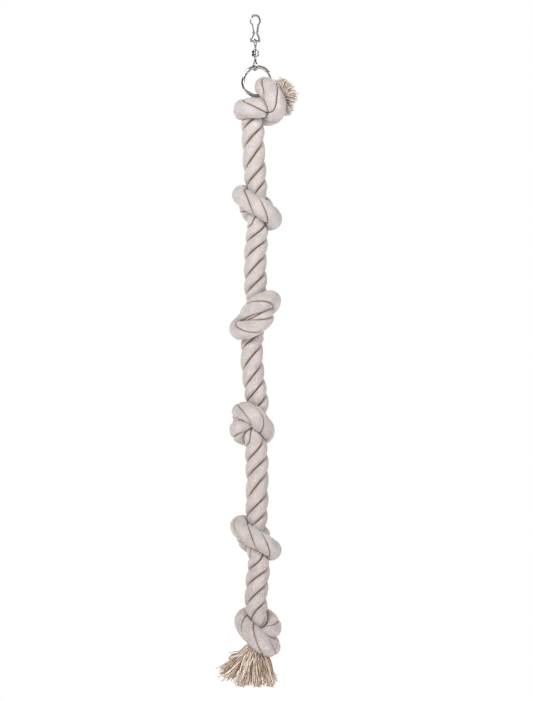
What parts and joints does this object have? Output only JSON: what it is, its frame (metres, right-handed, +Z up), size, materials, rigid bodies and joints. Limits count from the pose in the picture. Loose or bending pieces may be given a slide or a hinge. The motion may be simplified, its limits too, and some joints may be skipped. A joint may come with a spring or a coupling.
{
  "type": "knotted climbing rope with swivel clip",
  "caption": "Thick laid cotton rope with tight knots along it, tied to a steel ring on a swivel and snap clip, frayed at its lower end.",
  "frame": {"origin": "centre of the clip's hook, where it hangs on a bar or peg", "axes": "+Z up along the hanging rope, -Y towards the front that shows the flat of the hook and the ring, +X to the right"},
  "size_m": [0.0799, 0.056, 0.7399],
  "materials": {
    "clip_nickel": "polished nickel plate on cast frame",
    "swivel_nickel": "polished nickel plate",
    "ring_nickel": "polished nickel-plated welded wire",
    "cotton_rope": "soft off-white three-strand cotton",
    "cotton_fray": "loose cotton yarns"
  },
  "bodies": {
    "clip": {"clip_frame": "clip_nickel", "gate_rivet": "clip_nickel"},
    "gate": {"gate": "clip_nickel"},
    "upper_eye": {"upper_eye": "swivel_nickel"},
    "swivel_barrel": {"swivel_barrel": "swivel_nickel"},
    "lower_eye": {"lower_eye": "swivel_nickel"},
    "ring": {"ring": "ring_nickel"},
    "rope_1": {"knot_1": "cotton_rope", "frayed_tail": "cotton_fray", "stretch_1_upper": "cotton_rope"},
    "rope_2": {"stretch_1_lower": "cotton_rope", "knot_2": "cotton_rope", "stretch_2_upper": "cotton_rope"},
    "rope_3": {"stretch_2_lower": "cotton_rope", "knot_3": "cotton_rope", "stretch_3_upper": "cotton_rope"},
    "rope_4": {"stretch_3_lower": "cotton_rope", "knot_4": "cotton_rope", "stretch_4_upper": "cotton_rope"},
    "rope_5": {"stretch_4_lower": "cotton_rope", "knot_5": "cotton_rope", "stretch_5_upper": "cotton_rope"},
    "rope_6": {"stretch_5_lower": "cotton_rope", "knot_6": "cotton_rope", "tassel": "cotton_fray"}
  },
  "joints": [
    {"name": "gate_flex", "type": "hinge", "parent": "clip", "child": "gate", "pos_m": [-0.0017, 0, -0.0142], "axis": [0, 1, 0], "range_deg": [0, 16], "stiffness_Nm_per_rad": 0.02},
    {"name": "swivel_swing", "type": "hinge", "parent": "clip", "child": "upper_eye", "pos_m": [0, 0, -0.0232], "axis": [1, 0, 0], "range_deg": [-50, 50]},
    {"name": "swivel_turn_upper", "type": "hinge", "parent": "upper_eye", "child": "swivel_barrel", "pos_m": [0, 0, -0.0366], "axis": [0, 0, 1], "continuous": true},
    {"name": "swivel_turn_lower", "type": "hinge", "parent": "swivel_barrel", "child": "lower_eye", "pos_m": [0, 0, -0.0366], "axis": [0, 0, 1], "continuous": true},
    {"name": "ring_swing", "type": "hinge", "parent": "lower_eye", "child": "ring", "pos_m": [0, 0, -0.05187], "axis": [0.9893, 0, 0.1456], "range_deg": [-45, 45]},
    {"name": "rope_swing", "type": "hinge", "parent": "ring", "child": "rope_1", "pos_m": [0.0023, 0, -0.0675], "axis": [0, 1, 0], "range_deg": [-20, 20]},
    {"name": "bend_1", "type": "hinge", "parent": "rope_1", "child": "rope_2", "pos_m": [-0.0018, 0, -0.1473], "axis": [1, 0, 0], "range_deg": [-35, 35]},
    {"name": "bend_2", "type": "hinge", "parent": "rope_2", "child": "rope_3", "pos_m": [-0.0006, 0, -0.2628], "axis": [0, 1, 0], "range_deg": [-35, 35]},
    {"name": "bend_3", "type": "hinge", "parent": "rope_3", "child": "rope_4", "pos_m": [-0.0035, 0, -0.386], "axis": [1, 0, 0], "range_deg": [-35, 35]},
    {"name": "bend_4", "type": "hinge", "parent": "rope_4", "child": "rope_5", "pos_m": [0.0024, 0, -0.508], "axis": [0, 1, 0], "range_deg": [-35, 35]},
    {"name": "bend_5", "type": "hinge", "parent": "rope_5", "child": "rope_6", "pos_m": [0.0014, 0, -0.6214], "axis": [1, 0, 0], "range_deg": [-35, 35]}
  ]
}
